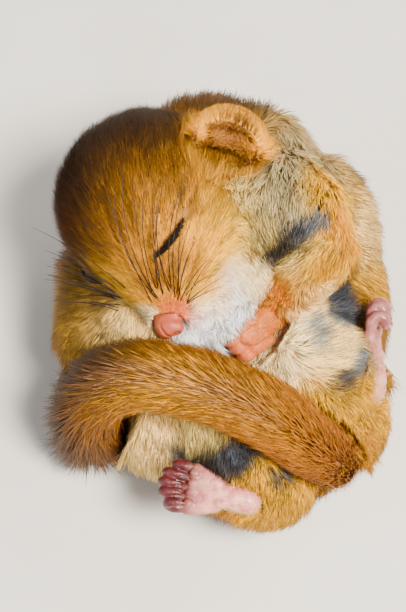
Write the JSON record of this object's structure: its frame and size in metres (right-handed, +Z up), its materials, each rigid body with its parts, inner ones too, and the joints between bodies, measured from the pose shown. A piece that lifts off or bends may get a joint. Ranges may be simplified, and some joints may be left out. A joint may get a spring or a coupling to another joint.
{
  "type": "hazel dormouse",
  "caption": "Small golden dormouse curled up asleep on its back, with its eyes shut, its paws drawn in and its furry tail laid up over its belly.",
  "frame": {"origin": "On the floor, in the middle of the resting width, on the flat that the hindquarters rest on.", "axes": "+Z up from the floor; +Y from the rump to the crown of the head, the longest way; +X to the animal's left side as it lies on its back."},
  "size_m": [0.0398, 0.0499, 0.0358],
  "materials": {
    "fur_orange": "short orange-brown fur",
    "fur_buff": "short buff fur with slate underfur",
    "fur_white": "short white fur",
    "fur_tail": "long bushy orange-brown fur",
    "bare_skin": "moist pink skin"
  },
  "bodies": {
    "root": {"nose": "bare_skin", "eye_left": "fur_orange", "eye_right": "fur_orange", "ear_left": "fur_orange", "ear_right": "fur_orange", "head": "fur_orange", "lower_jaw": "fur_buff", "hand_left": "bare_skin", "hand_right": "bare_skin", "foot_left": "bare_skin", "foot_right": "bare_skin", "tail_base": "fur_tail", "tail_middle": "fur_tail", "tail_tip": "fur_tail", "forearm_left": "fur_orange", "upper_arm_left": "fur_buff", "shank_left": "fur_buff", "thigh_left": "fur_buff", "forearm_right": "fur_orange", "upper_arm_right": "fur_buff", "shank_right": "fur_buff", "thigh_right": "fur_buff", "throat": "fur_white", "neck": "fur_buff", "chest": "fur_buff", "hindquarters": "fur_buff"}
  },
  "joints": []
}
